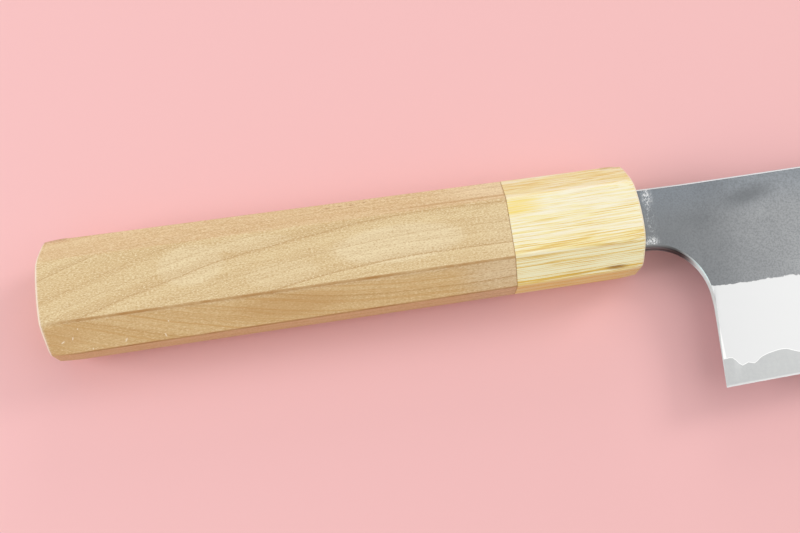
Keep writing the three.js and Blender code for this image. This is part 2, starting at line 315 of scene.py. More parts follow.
def makeFibres(settings):
    # Streaks along X, finer ones beside them and short open pores. Length and width are in mm.
    tree, given, out = newGroup(
        "woodFibres",
        {"Place": "Vector", "Length": "Float", "Width": "Float"},
        ["Streak", "Fine", "Pores"],
    )
    width = given["Width"]
    size = put(tree, "CombineXYZ", {"X": given["Length"], "Y": width, "Z": width}).outputs[0]
    place = put(tree, "VectorMath", {0: given["Place"], 1: size}, operation="DIVIDE").outputs[0]
    plug(tree, out["Streak"], noise(tree, place, *settings["streak"]))
    finePlace = stretch(tree, place, settings["fineStretch"], settings["fineShift"])
    plug(tree, out["Fine"], noise(tree, finePlace, *settings["fine"]))
    porePlace = stretch(tree, place, settings["poreStretch"], settings["poreShift"])
    pores = noise(tree, porePlace, *settings["pore"])
    plug(tree, out["Pores"], fade(tree, pores, *settings["poreRange"]))
    return tree


def makeShells(settings):
    # Depth through the growth of the tree, in mm, for shells that lean and bend along the piece.
    tree, given, out = newGroup(
        "growthShells",
        {"Place": "Vector", "Slope": "Float", "Bend": "Float", "Tilt": "Float", "Wobble": "Float"},
        ["Depth"],
    )
    at = axes(tree, given["Place"])
    rate = calc(tree, "SUBTRACT", given["Slope"], calc(tree, "MULTIPLY", given["Bend"], at["X"]))
    across = calc(tree, "ADD", at["Y"], calc(tree, "MULTIPLY", given["Tilt"], at["Z"]))
    straight = calc(tree, "SUBTRACT", across, calc(tree, "MULTIPLY", rate, at["X"]))
    sway = noise(tree, stretch(tree, given["Place"], settings["swayStretch"]), *settings["sway"])
    swing = calc(tree, "MULTIPLY", calc(tree, "SUBTRACT", sway, noiseMiddle), given["Wobble"])
    plug(tree, out["Depth"], calc(tree, "ADD", straight, swing))
    return tree


def makeSteelGrain(settings):
    # Fine mottling, wider clouds and hair scratches along X, over a place in mm.
    tree, given, out = newGroup(
        "steelGrain",
        {"Place": "Vector", "Mottle": "Float", "Hair": "Float"},
        ["Mottle", "Cloud", "Hair"],
    )
    plug(tree, out["Mottle"], noise(tree, given["Place"], given["Mottle"], *settings["mottle"]))
    plug(tree, out["Cloud"], noise(tree, given["Place"], *settings["cloud"]))
    lined = stretch(tree, given["Place"], settings["hairStretch"])
    plug(tree, out["Hair"], noise(tree, lined, given["Hair"], *settings["hair"]))
    return tree


fibres = makeFibres(fibreShape)
shells = makeShells(shellShape)
steelGrain = makeSteelGrain(steelShape)
print("effects:", [group.name for group in bpy.data.node_groups])


# Wood of the grip: places are in mm from the butt, the handle's axis and its middle.
# Here and below, a range is where a value's effect starts and ends, then its strength at each.

gripFinish = {
    "origin": (buttX, axisY, axisZ),
    "pale": srgb(229, 207, 161),
    "tan": srgb(213, 184, 135),
    "line": srgb(183, 143, 90),
    "warmLine": srgb(194, 146, 80),
    "warm": srgb(236, 196, 112),
    # Pale flecks of the grain, and the colour of the painted sheen
    "paleFleckAndSheen": srgb(239, 222, 183),
    "nick": srgb(247, 233, 204),
    "ridge": srgb(176, 128, 68),
    "pore": srgb(140, 84, 44),
    # End grain a little paler, lifted further by a painted highlight on the rounded rims
    "rim": srgb(244, 232, 226),
    "seam": srgb(170, 122, 68),
    "fibres": {"Length": 6.0, "Width": 0.5},
    "shells": {"Slope": 0.35, "Bend": 0.00194, "Tilt": -2.0, "Wobble": 1.4},
    "broadLayers": (0.17, 2.0, 0.5),  # scale, detail and roughness through the shells
    "broadRange": (0.3, 0.7, 0.1, 0.8),
    "fineLayers": (1.3, 4.0, 0.75),
    "fineRange": (0.5, 0.75, 0.0, 0.35),
    "closeLayers": (1.8, 4.0, 0.85),
    "closeRange": (0.5, 0.62, 0.0, 0.6),
    "fibreRange": (0.42, 0.75, 0.0, 0.4),
    "growthLines": [  # depth in mm, strength
        (-17.1, 0.5), (-28.7, 0.55), (-38.0, 0.6), (-22.6, 0.2),
        (-25.4, 0.25), (-33.2, 0.3), (-35.1, 0.2),
    ],
    "growthWidth": 0.2,  # mm to either side of a growth line
    "growthShade": (0.1, 2.2),  # mm of shaded wood before and behind it
    "growthShadeStrength": 0.5,
    # Painted sheen: lighter patches where the figure catches the light. The last three are paler patches
    # by the seam.
    "paintedSheenAndPalePatches": [  # centre and radii in mm, inner share of the radii, strength
        ((77, 0, 9), (16, 4.6, 4), 0.75, 0.75),
        ((33, 1.5, 9), (8, 5, 4), 0.75, 0.5),
        ((52, -3, 9), (9, 3, 4), 0.75, 0.3),
        ((46, 4.4, 9), (10, 1.7, 4), 0.75, 0.35),
        ((100, -9.5, 7), (15, 5, 6), 0.1, 0.9),  # the last three lie at the seam
        ((99, 9.8, 6), (17, 5, 7), 0.1, 0.8),
        ((100, -1, 9), (10, 9, 4), 0.1, 0.4),
    ],
    "toothStretch": (1.9, 5.6, 5.6),  # per mm, drawn out along the grain
    "tooth": (1.0, 2.0, 0.8),
    "toothLight": (0.5, 0.69, 0.0, 1.0),
    "toothDark": (0.5, 0.31, 0.0, 0.68),
    "openPoreStrength": 0.25,
    "edgeHalf": (-4.0, -6.0),  # heights that take in the ridges towards the edge
    "lowFacet": (-6.4, -7.6),  # heights that take in the facet towards the edge
    "offButt": (0.8, 1.4),  # keeps its warm tint off the end of the butt
    "offSeam": (86, 94, 1.0, 0.3),  # and makes it weaker by the seam
    "warmStrength": 0.25,
    "deeps": [  # centre and radii in mm, inner share of the radii, strength
        ((52, -9.5, 7), (16, 4, 4), 0.4, 0.35),
        ((3, -9.5, 7), (9, 4, 4), 0.4, 0.25),
    ],
    "rubStretch": (0.08, 0.0, 0.0),
    "rub": (1.0, 3.0, 0.6),
    "rubRange": (0.3, 0.7, 0.4, 1.0),
    "spineLine": (7.6, 0.5),  # height and half width of a dark line by the spine's facet
    "spineLineRun": (70, 86, 0.0, 0.5),
    "pores": [  # centre in mm, half length
        ((62.8, 10.7, 5.7), 0.9), ((65.6, 10.9, 5.5), 0.6),
        ((68.2, 10.8, 5.6), 0.9), ((71.0, 11.1, 5.3), 0.5),
    ],
    "poreSection": (0.14, 1.2),  # half width and half depth in mm
    "poreInner": 0.3,
    "poreStrength": 0.7,
    "knocks": [  # centre in mm, half length, degrees
        ((6.4, -9.9, 6.5), 0.45, 60), ((4.2, -10.35, 6.0), 0.6, 25), ((17.3, -11.4, 4.9), 0.6, 50),
        ((10.0, -12.2, 4.1), 0.2, 80), ((25.6, -11.5, 4.8), 0.5, -65), ((7.9, -8.3, 8.1), 0.2, 70),
        ((26.8, -9.1, 7.2), 0.25, -60),
    ],
    "knockSection": (0.17, 1.2),
    "knockInner": 0.4,
    "knockStrength": 0.95,
    "rimHighlightStrength": 0.85,
    "seamLine": ((seamX - buttX) / mm, 0.22),  # place and half width
    "seamStrength": 0.5,
    "roughness": (0.2, 0.8, 0.48, 0.62),
    "poreDepth": 0.8,
    "relief": (0.1, 0.2 * mm),  # strength, height
}


def makeGripWood(settings):
    material, tree, surface, place = newFinish("gripWood", settings["origin"])
    at = axes(tree, place)
    depth = useGroup(tree, shells, {"Place": place, **settings["shells"]})["Depth"]
    grain = useGroup(tree, fibres, {"Place": place, **settings["fibres"]})

    # Growth of the tree, and painted sheen
    broad = fade(tree, layers(tree, depth, *settings["broadLayers"]), *settings["broadRange"])
    colour = tint(tree, broad, settings["pale"], settings["tan"])
    fine = fade(tree, layers(tree, depth, *settings["fineLayers"]), *settings["fineRange"])
    colour = tint(tree, fine, colour, settings["line"])
    # Painted sheen, and paler patches by the seam
    for centre, radii, inner, strength in settings["paintedSheenAndPalePatches"]:
        patch = product(tree, spot(tree, place, centre, radii, inner), strength)
        colour = tint(tree, patch, colour, settings["paleFleckAndSheen"])
    before, behind = settings["growthShade"]
    for where, strength in settings["growthLines"]:
        late = product(tree, peak(tree, depth, where, settings["growthWidth"]), strength)
        onset = fade(tree, depth, where - before, where)
        tail = fade(tree, depth, where, where + behind, 1.0, 0.0)
        shade = product(tree, onset, tail, strength, settings["growthShadeStrength"])
        colour = tint(tree, calc(tree, "ADD", late, shade), colour, settings["line"])

    # Fibres and tooth
    colour = tint(tree, fade(tree, grain["Fine"], *settings["fibreRange"]), colour, settings["line"])
    tooth = noise(tree, stretch(tree, place, settings["toothStretch"]), *settings["tooth"])
    colour = tint(tree, fade(tree, tooth, *settings["toothLight"]), colour, settings["paleFleckAndSheen"])
    colour = tint(tree, fade(tree, tooth, *settings["toothDark"]), colour, settings["line"])
    openPores = product(tree, grain["Pores"], settings["openPoreStrength"])
    colour = tint(tree, openPores, colour, settings["line"])

    # The facet towards the edge
    lowFacet = fade(tree, at["Y"], *settings["lowFacet"])
    offButt = fade(tree, at["X"], *settings["offButt"])
    offSeam = fade(tree, at["X"], *settings["offSeam"])
    lowFacet = product(tree, lowFacet, offButt, offSeam)
    close = fade(tree, layers(tree, depth, *settings["closeLayers"]), *settings["closeRange"])
    colour = tint(tree, product(tree, close, lowFacet), colour, settings["warmLine"])
    colour = tint(tree, product(tree, lowFacet, settings["warmStrength"]), colour, settings["warm"])
    for centre, radii, inner, strength in settings["deeps"]:
        patch = product(tree, spot(tree, place, centre, radii, inner), lowFacet, strength)
        colour = tint(tree, patch, colour, settings["warmLine"])

    # Darker line on the ridges, marks, painted highlight on the rim, and seam
    edgeHalf = fade(tree, at["Y"], *settings["edgeHalf"])
    rub = noise(tree, stretch(tree, place, settings["rubStretch"]), *settings["rub"])
    ridgeBreaks = fade(tree, rub, *settings["rubRange"])
    ridgeTint = product(tree, attribute(tree, "easedRidge"), edgeHalf, ridgeBreaks)
    colour = tint(tree, ridgeTint, colour, settings["ridge"])
    spineLine = peak(tree, at["Y"], *settings["spineLine"])
    spineLine = product(tree, spineLine, fade(tree, at["X"], *settings["spineLineRun"]))
    colour = tint(tree, spineLine, colour, settings["ridge"])
    for centre, half in settings["pores"]:
        mark = spot(tree, place, centre, (half, *settings["poreSection"]), settings["poreInner"])
        colour = tint(tree, product(tree, mark, settings["poreStrength"]), colour, settings["pore"])
    for centre, half, turn in settings["knocks"]:
        mark = spot(tree, place, centre, (half, *settings["knockSection"]), settings["knockInner"], turn)
        colour = tint(tree, product(tree, mark, settings["knockStrength"]), colour, settings["nick"])
    # Painted highlight on the rounded rims, over end grain that is a little paler
    rim = product(tree, attribute(tree, "endRimHighlight"), settings["rimHighlightStrength"])
    colour = tint(tree, rim, colour, settings["rim"])
    seam = product(tree, peak(tree, at["X"], *settings["seamLine"]), settings["seamStrength"])
    colour = tint(tree, seam, colour, settings["seam"])

    plug(tree, surface.inputs["Base Color"], colour)
    plug(tree, surface.inputs["Roughness"], fade(tree, grain["Streak"], *settings["roughness"]))
    height = calc(tree, "SUBTRACT", grain["Fine"], product(tree, grain["Pores"], settings["poreDepth"]))
    plug(tree, surface.inputs["Normal"], relief(tree, height, *settings["relief"]))
    return material


# Wood of the ferrule: places are in mm from the seam, the handle's axis and its middle

ferruleFinish = {
    "origin": (seamX, axisY, axisZ),
    "cream": srgb(246, 241, 217),
    "bright": srgb(255, 255, 214),
    "yellow": srgb(244, 231, 162),
    "ochre": srgb(224, 184, 92),
    "gold": srgb(236, 198, 66),
    # Painted shade for the facet towards the spine
    "shade": srgb(210, 196, 156),
    "stain": srgb(244, 218, 118),
    "brown": srgb(136, 82, 6),
    # End grain a little paler, lifted further by a painted highlight on the rounded rim
    "rim": srgb(246, 232, 216),
    "seam": srgb(170, 122, 68),
    "fibres": {"Length": 12.0, "Width": 0.24},
    "shells": {"Slope": 0.018, "Bend": 0.0, "Tilt": 0.25, "Wobble": 0.5},
    "bandLayers": (0.5, 2.0, 0.5),
    "bandStrength": 0.2,
    "richBands": [  # height and half width in mm, added strength
        (-5.4, 2.6, 0.14), (9.4, 3.4, 0.15), (-11.1, 0.7, 0.14),
    ],
    "yellowRange": (0.44, 0.62),
    "ochreRange": (0.58, 0.72, 0.0, 0.9),
    "fineOchre": (0.5, 0.66, 0.0, 0.5),
    "fineCream": (0.5, 0.34, 0.0, 0.6),
    "lowFacet": (-6.2, -7.4, 0.0, 0.95),  # heights that take in the facet towards the edge
    "stripeLayers": (1.9, 4.0, 0.8),
    "stripeRange": (0.54, 0.59),
    "facetGold": (0.52, 0.64, 0.0, 0.6),
    "facetOchre": (0.6, 0.7, 0.0, 0.8),
    "spineFacet": (6.4, 7.4, 0.0, 0.25),
    # Gold on the narrow side towards the edge: a golden streak of the wood, and painted bounce light from
    # the floor
    "lowSideGoldAndBounce": (-11.2, -11.6, 0.0, 0.5),
    "stainSpot": ((2.0, 4.2, 8.5), (8.5, 3.2, 4), 0.2),  # centre and radii in mm, inner share
    "stainRange": (0.3, 0.6, 0.4, 1.0),
    "minerals": [  # centre and radii in mm, inner share of the radii, strength
        ((21.6, -10.75, 5.3), (3.4, 0.6, 1.5), 0.2, 0.9),
        ((14.5, -11.0, 5.1), (6.5, 0.3, 1.5), 0.2, 0.25),
    ],
    "mineralRange": (0.38, 0.6, 0.25, 0.95),
    "rimHighlightStrength": 0.6,
    "seamLine": (0.0, 0.2),  # place and half width
    "seamStrength": 0.5,
    "roughness": (0.2, 0.8, 0.44, 0.58),
    "relief": (0.1, 0.2 * mm),
}


def makeFerruleWood(settings):
    material, tree, surface, place = newFinish("ferruleWood", settings["origin"])
    at = axes(tree, place)
    depth = useGroup(tree, shells, {"Place": place, **settings["shells"]})["Depth"]
    sheared = put(tree, "CombineXYZ", {"X": at["X"], "Y": depth, "Z": at["Z"]}).outputs[0]
    grain = useGroup(tree, fibres, {"Place": sheared, **settings["fibres"]})

    # Streaks, richer in some bands
    band = calc(tree, "SUBTRACT", layers(tree, depth, *settings["bandLayers"]), noiseMiddle)
    rich = calc(tree, "ADD", grain["Streak"], product(tree, band, settings["bandStrength"]))
    for where, width, more in settings["richBands"]:
        rich = calc(tree, "ADD", rich, product(tree, peak(tree, at["Y"], where, width), more))
    colour = tint(tree, fade(tree, rich, *settings["yellowRange"]), settings["cream"], settings["yellow"])
    colour = tint(tree, fade(tree, rich, *settings["ochreRange"]), colour, settings["ochre"])
    colour = tint(tree, fade(tree, grain["Fine"], *settings["fineOchre"]), colour, settings["ochre"])
    colour = tint(tree, fade(tree, grain["Fine"], *settings["fineCream"]), colour, settings["cream"])

    # Facets, the one towards the edge livelier than the rest, the one towards the spine in painted shade,
    # and the narrow side below with painted bounce light
    stripes = fade(tree, layers(tree, depth, *settings["stripeLayers"]), *settings["stripeRange"])
    lively = tint(tree, stripes, settings["bright"], settings["gold"])
    lively = tint(tree, fade(tree, rich, *settings["facetGold"]), lively, settings["gold"])
    lively = tint(tree, fade(tree, rich, *settings["facetOchre"]), lively, settings["ochre"])
    colour = tint(tree, fade(tree, at["Y"], *settings["lowFacet"]), colour, lively)
    # Painted shade: the facet towards the spine a little darker
    colour = tint(tree, fade(tree, at["Y"], *settings["spineFacet"]), colour, settings["shade"])
    # A golden streak and painted bounce light on the narrow side towards the edge
    colour = tint(tree, fade(tree, at["Y"], *settings["lowSideGoldAndBounce"]), colour, settings["gold"])

    # Stain, mineral marks, painted highlight on the rim, and seam
    stained = fade(tree, grain["Streak"], *settings["stainRange"])
    stain = product(tree, spot(tree, place, *settings["stainSpot"]), stained)
    colour = tint(tree, stain, colour, settings["stain"])
    streaky = fade(tree, grain["Fine"], *settings["mineralRange"])
    for centre, radii, inner, strength in settings["minerals"]:
        mark = product(tree, spot(tree, place, centre, radii, inner), streaky, strength)
        colour = tint(tree, mark, colour, settings["brown"])
    rim = product(tree, attribute(tree, "endRimHighlight"), settings["rimHighlightStrength"])
    colour = tint(tree, rim, colour, settings["rim"])
    seam = product(tree, peak(tree, at["X"], *settings["seamLine"]), settings["seamStrength"])
    colour = tint(tree, seam, colour, settings["seam"])

    plug(tree, surface.inputs["Base Color"], colour)
    plug(tree, surface.inputs["Roughness"], fade(tree, grain["Streak"], *settings["roughness"]))
    plug(tree, surface.inputs["Normal"], relief(tree, grain["Fine"], *settings["relief"]))
    return material


# Wood of the hidden dowel

dowelFinish = {
    "origin": (seamX, axisY, axisZ),
    "pale": srgb(222, 198, 158),
    "brown": srgb(178, 138, 88),
    "fibres": {"Length": 12.0, "Width": 0.8},
    "brownRange": (0.35, 0.7),
    "roughness": (0.2, 0.8, 0.6, 0.8),
    "relief": (0.2, 0.2 * mm),
}


def makeDowelWood(settings):
    material, tree, surface, place = newFinish("dowelWood", settings["origin"])
    grain = useGroup(tree, fibres, {"Place": place, **settings["fibres"]})
    streaks = fade(tree, grain["Streak"], *settings["brownRange"])
    plug(tree, surface.inputs["Base Color"], tint(tree, streaks, settings["pale"], settings["brown"]))
    plug(tree, surface.inputs["Roughness"], fade(tree, grain["Fine"], *settings["roughness"]))
    plug(tree, surface.inputs["Normal"], relief(tree, grain["Fine"], *settings["relief"]))
    return material


# Resin round the tang

resinFinish = {
    "origin": (mouthX, axisY, axisZ),
    "amber": srgb(150, 92, 34),
    "deep": srgb(96, 50, 16),
    "cloud": (0.16, 3.0, 0.6),
    "deepRange": (0.3, 0.7),
    "roughness": (0.3, 0.7, 0.25, 0.45),
}


def makeResin(settings):
    material, tree, surface, place = newFinish("amberResin", settings["origin"])
    cloud = noise(tree, place, *settings["cloud"])
    deep = fade(tree, cloud, *settings["deepRange"])
    plug(tree, surface.inputs["Base Color"], tint(tree, deep, settings["amber"], settings["deep"]))
    plug(tree, surface.inputs["Roughness"], fade(tree, cloud, *settings["roughness"]))
    return material


# What both steels share: the ground narrow faces, which are spine, choil and heel, and the weld's line.
# Places on the blade are in mm from the mouth, the handle's axis and the blade's mid-plane.

bladeGrind = {
    "origin": (mouthX, axisY, axisZ),
    # Pale ground steel of the choil and heel, tinted cyan as painted light that cancels the floor's pink
    # bounce
    "choil": srgb(216, 238, 239),
    # Painted shade on the choil's wall by the neck, over dark forge scale
    "wall": srgb(34, 32, 34),
    "metallic": 0.2,  # coarsely ground faces look less metallic
    "spineFrom": (3.0, 5.0),  # heights between which the spine's colour comes in
    "choilFrom": (-9.0, -13.0),
    "weldSolid": 0.6,  # share of the weld's line that is at full strength
}


# Steel of the cladding: a matt flat above the shinogi, a polished bevel below it

claddingFinish = {
    "flat": srgb(166, 169, 172),
    "neck": srgb(122, 126, 130),
    "cold": srgb(128, 137, 147),
    "smoke": srgb(112, 116, 120),
    # Painted shadow of the ferrule on the steel by the mouth, with some dirt
    "mouthShadowAndDirt": srgb(84, 87, 91),
    "scuff": srgb(216, 219, 222),
    "bevel": srgb(214, 216, 218),
    "weld": srgb(234, 236, 237),
    "ground": srgb(228, 231, 233),
    # Brushed grey of the spine's face, tinted blue as painted light that cancels the floor's pink bounce
    "back": srgb(178, 186, 191),
    "neckWall": srgb(118, 122, 127),
    "grain": {"Mottle": 2.6, "Hair": 5.0},
    "waver": 0.35,  # mm by which the shinogi wanders
    "waverNoise": (0.4, 4.0, 0.7),
    "waverRange": (0.2, 0.8),
    "tip": (cadBox[1].x - mouthX) / mm,
    "steadyRun": (40.0, 8.0),  # mm before the tip over which it gets steadier
    "steadyStrength": (1.0, 0.05),
    "mattRange": (-0.08, 0.08),  # mm over the shinogi
    "flatRun": (2.0, 34.0),
    "coldRange": (-4.0, 6.5, 0.0, 0.6),
    "cloudRange": (0.3, 0.7, 0.0, 0.25),
    "mottleRange": (0.4, 0.66, 0.0, 0.42),
    "smokes": [  # centre and radii in mm, inner share of the radii, degrees, strength
        ((25.5, 1.9, 1.5), (8.5, 3.0, 4), 0.1, 12, 0.75),
        ((13, -2, 1.5), (6, 3, 4), 0.1, 0, 0.3),
    ],
    "mouthShadowRun": (0.0, 2.0, 0.75, 0.0),
    "rubStretch": (3.0, 1.6, 1.6),
    "rub": (1.0, 4.0, 0.8, 1.0),
    "scuffBand": (3.0, 1.7),  # place and half width
    "bandRange": (0.56, 0.64, 0.0, 0.6),
    "scuffs": [  # centre and radii in mm, inner share of the radii
        ((3.1, 4.2, 2), (1.7, 3.2, 4), 0.2),
        ((2.3, -5.9, 2), (2.5, 1.9, 4), 0.2),
    ],
    "scuffRange": (0.46, 0.6),
    "weldWidth": 0.13,  # mm of bright line over the core
    "narrowFrom": (0.05, 0.07),  # turn away from the blade's side, 0 to 1
    "wallRun": (3.0, 8.0),
    "easedTurn": (0.3, 0.2),
    "easedRun": (7.0, 13.0, 0.1, 1.0),
    "backTurn": (0.3, 0.5),
    "flatRoughness": (0.3, 0.7, 0.42, 0.54),
    "bevelRoughness": (0.3, 0.7, 0.275, 0.29),
    "groundRoughness": 0.5,
    "relief": (0.06, 0.1 * mm),
}


def makeCladdingSteel(settings, grind):
    material, tree, surface, place = newFinish("claddingSteel", grind["origin"])
    at = axes(tree, place)
    grain = useGroup(tree, steelGrain, {"Place": place, **settings["grain"]})

    # Where the flat ends
    waver = settings["waver"]
    ragged = noise(tree, place, *settings["waverNoise"])
    ragged = fade(tree, ragged, *settings["waverRange"], -waver, waver)
    steadyFrom, steadyTo = [settings["tip"] - run for run in settings["steadyRun"]]
    steady = fade(tree, at["X"], steadyFrom, steadyTo, *settings["steadyStrength"])
    over = calc(tree, "ADD", attribute(tree, "overShinogi"), product(tree, ragged, steady))
    matt = fade(tree, over, *settings["mattRange"])

    # Flat
    colour = tint(tree, fade(tree, at["X"], *settings["flatRun"]), settings["neck"], settings["flat"])
    colour = tint(tree, fade(tree, at["Y"], *settings["coldRange"]), colour, settings["cold"])
    colour = tint(tree, fade(tree, grain["Cloud"], *settings["cloudRange"]), colour, settings["smoke"])
    colour = tint(tree, fade(tree, grain["Mottle"], *settings["mottleRange"]), colour, settings["smoke"])
    for centre, radii, inner, turn, strength in settings["smokes"]:
        patch = product(tree, spot(tree, place, centre, radii, inner, turn), strength)
        colour = tint(tree, patch, colour, settings["smoke"])
    # Painted shadow by the mouth, with some dirt
    colour = tint(tree, fade(tree, at["X"], *settings["mouthShadowRun"]), colour, settings["mouthShadowAndDirt"])
    rub = noise(tree, stretch(tree, place, settings["rubStretch"]), *settings["rub"])
    band = peak(tree, at["X"], *settings["scuffBand"])
    hits = product(tree, band, fade(tree, rub, *settings["bandRange"]))
    scuffed = fade(tree, rub, *settings["scuffRange"])
    for centre, radii, inner in settings["scuffs"]:
        cluster = product(tree, spot(tree, place, centre, radii, inner), scuffed)
        hits = calc(tree, "MAXIMUM", hits, cluster)
    colour = tint(tree, hits, colour, settings["scuff"])

    # Bevel and weld
    colour = tint(tree, matt, settings["bevel"], colour)
    width = settings["weldWidth"]
    weld = fade(tree, attribute(tree, "overLamination"), width * grind["weldSolid"], width, 1.0, 0.0)
    colour = tint(tree, weld, colour, settings["weld"])

    # Narrow faces
    turned = attribute(tree, "narrowFace")
    narrow = fade(tree, turned, *settings["narrowFrom"])
    # Narrow faces that are not bare: forge scale, grey by the neck, and near black painted shade further
    # out
    wall = tint(tree, fade(tree, at["X"], *settings["wallRun"]), settings["neckWall"], grind["wall"])
    spine = fade(tree, at["Y"], *grind["spineFrom"])
    choil = fade(tree, at["Y"], *grind["choilFrom"])
    # Eased corners keep the pale ground steel, except by the neck, where they take the wall's colour to
    # damp their shine: painted shade
    eased = fade(tree, turned, *settings["easedTurn"])
    eased = product(tree, eased, fade(tree, at["X"], *settings["easedRun"]))
    bare = calc(tree, "MAXIMUM", calc(tree, "MAXIMUM", choil, spine), eased)
    ground = tint(tree, choil, settings["ground"], grind["choil"])
    back = product(tree, spine, fade(tree, turned, *settings["backTurn"]))
    ground = tint(tree, back, ground, settings["back"])
    colour = tint(tree, narrow, colour, tint(tree, bare, wall, ground))

    plug(tree, surface.inputs["Base Color"], colour)
    plug(tree, surface.inputs["Metallic"], blend(tree, narrow, 1.0, grind["metallic"]))
    flatRough = fade(tree, grain["Mottle"], *settings["flatRoughness"])
    bevelRough = fade(tree, grain["Hair"], *settings["bevelRoughness"])
    rough = blend(tree, matt, bevelRough, flatRough)
    plug(tree, surface.inputs["Roughness"], blend(tree, narrow, rough, settings["groundRoughness"]))
    height = product(tree, grain["Mottle"], matt)
    plug(tree, surface.inputs["Normal"], relief(tree, height, *settings["relief"]))
    return material


# Steel of the core

coreFinish = {
    "haze": srgb(195, 198, 199),
    "hazeDark": srgb(190, 193, 195),
    "weld": srgb(244, 246, 247),
    "keen": srgb(240, 242, 243),
    # Brushed grey of the spine's face, tinted blue as painted light that cancels the floor's pink bounce
    "back": srgb(186, 194, 198),
    "grain": {"Mottle": 1.5, "Hair": 6.0},
    "hazeRange": (0.3, 0.7),
    "weldWidth": 0.09,  # mm of bright line under the cladding
    "narrowFrom": (0.5, 0.7),
    "roughness": (0.3, 0.7, 0.36, 0.42),
    "groundRoughness": 0.6,
}


def makeCoreSteel(settings, grind):
    material, tree, surface, place = newFinish("coreSteel", grind["origin"])
    grain = useGroup(tree, steelGrain, {"Place": place, **settings["grain"]})
    mottled = fade(tree, grain["Mottle"], *settings["hazeRange"])
    colour = tint(tree, mottled, settings["haze"], settings["hazeDark"])
    width = settings["weldWidth"]
    weld = fade(tree, attribute(tree, "overLamination"), -width, -width * grind["weldSolid"])
    colour = tint(tree, weld, colour, settings["weld"])
    colour = tint(tree, attribute(tree, "keenEdge"), colour, settings["keen"])

    narrow = fade(tree, attribute(tree, "narrowFace"), *settings["narrowFrom"])
    height = axes(tree, place)["Y"]
    choil = fade(tree, height, *grind["choilFrom"])
    bare = calc(tree, "MAXIMUM", choil, fade(tree, height, *grind["spineFrom"]))
    ground = tint(tree, choil, settings["back"], grind["choil"])
    # Narrow core faces that are not bare get the dark wall: painted shade over forge scale
    colour = tint(tree, narrow, colour, tint(tree, bare, grind["wall"], ground))

    plug(tree, surface.inputs["Base Color"], colour)
    plug(tree, surface.inputs["Metallic"], blend(tree, narrow, 1.0, grind["metallic"]))
    rough = fade(tree, grain["Hair"], *settings["roughness"])
    plug(tree, surface.inputs["Roughness"], blend(tree, narrow, rough, settings["groundRoughness"]))
    return material


gripWood = makeGripWood(gripFinish)
ferruleWood = makeFerruleWood(ferruleFinish)
dowelWood = makeDowelWood(dowelFinish)
amberResin = makeResin(resinFinish)
claddingSteel = makeCladdingSteel(claddingFinish, bladeGrind)
coreSteel = makeCoreSteel(coreFinish, bladeGrind)
print("finishes:", [material.name for material in bpy.data.materials if material.use_nodes])


# Meshes

facetWeight = 90  # how strongly the large faces set the shading


def startFromNode(node):
    # A merged copy of a node's solid, without the shading it came with.
    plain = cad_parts[node].data.copy()
    plain.attributes.remove(plain.attributes["custom_normal"])
    bm = bmesh.new()
    bm.from_mesh(plain)
    bpy.data.meshes.remove(plain)
    bmesh.ops.remove_doubles(bm, verts=bm.verts, dist=mergeDistance)
    for edge in bm.edges:
        edge.smooth = True
    for face in bm.faces:
        face.smooth = True
        face.material_index = 0
    return bm


def finishPiece(bm, name, node, material):
    mesh = bpy.data.meshes.new(name)
    bm.to_mesh(mesh)
    bm.free()
    mesh.materials.append(material)
    piece = bpy.data.objects.new(name, mesh)
    scene.collection.objects.link(piece)
    flatten = piece.modifiers.new("evenFacets", "WEIGHTED_NORMAL")
    flatten.weight = facetWeight
    flatten.keep_sharp = True
    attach(piece, "root")
    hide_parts(node)
    print("piece:", name, len(mesh.polygons), "faces")


# Handle pieces

handleEasing = {
    "ridge": 0.4 * mm,
    "ridgeSteps": 4,
    "ridgeTurn": (20, 60),  # degrees between the facets that meet at a ridge
    "ridgeRun": 1.0 * mm,  # shortest stretch of a ridge that is eased
    "ridgeFade": 7.0 * mm,  # from a rim to where the ridge line is at its darkest
    "seam": 0.14 * mm,
    "seamSteps": 2,
    "endFacing": 0.5,  # turn towards the end past which a face belongs to it
    # Where the painted highlight on the rounded end rims lies
    "rimHighlightFacing": (0.25, 0.6, 0.95),  # turn towards the end where the paler rim starts, peaks and stops
    "coplanar": 0.3,  # degrees
    "sharp": 50,  # degrees
}


def outwardTurn(edge):
    # Degrees by which the surface turns at an edge, below 0 in a hollow.
    return math.degrees(edge.calc_face_angle_signed(0))


def roundEdges(bm, edges, width, steps):
    return bmesh.ops.bevel(bm, geom=edges, offset=width, offset_type="OFFSET", affect="EDGES",
                           segments=steps, profile=0.5, material=-1, clamp_overlap=True)


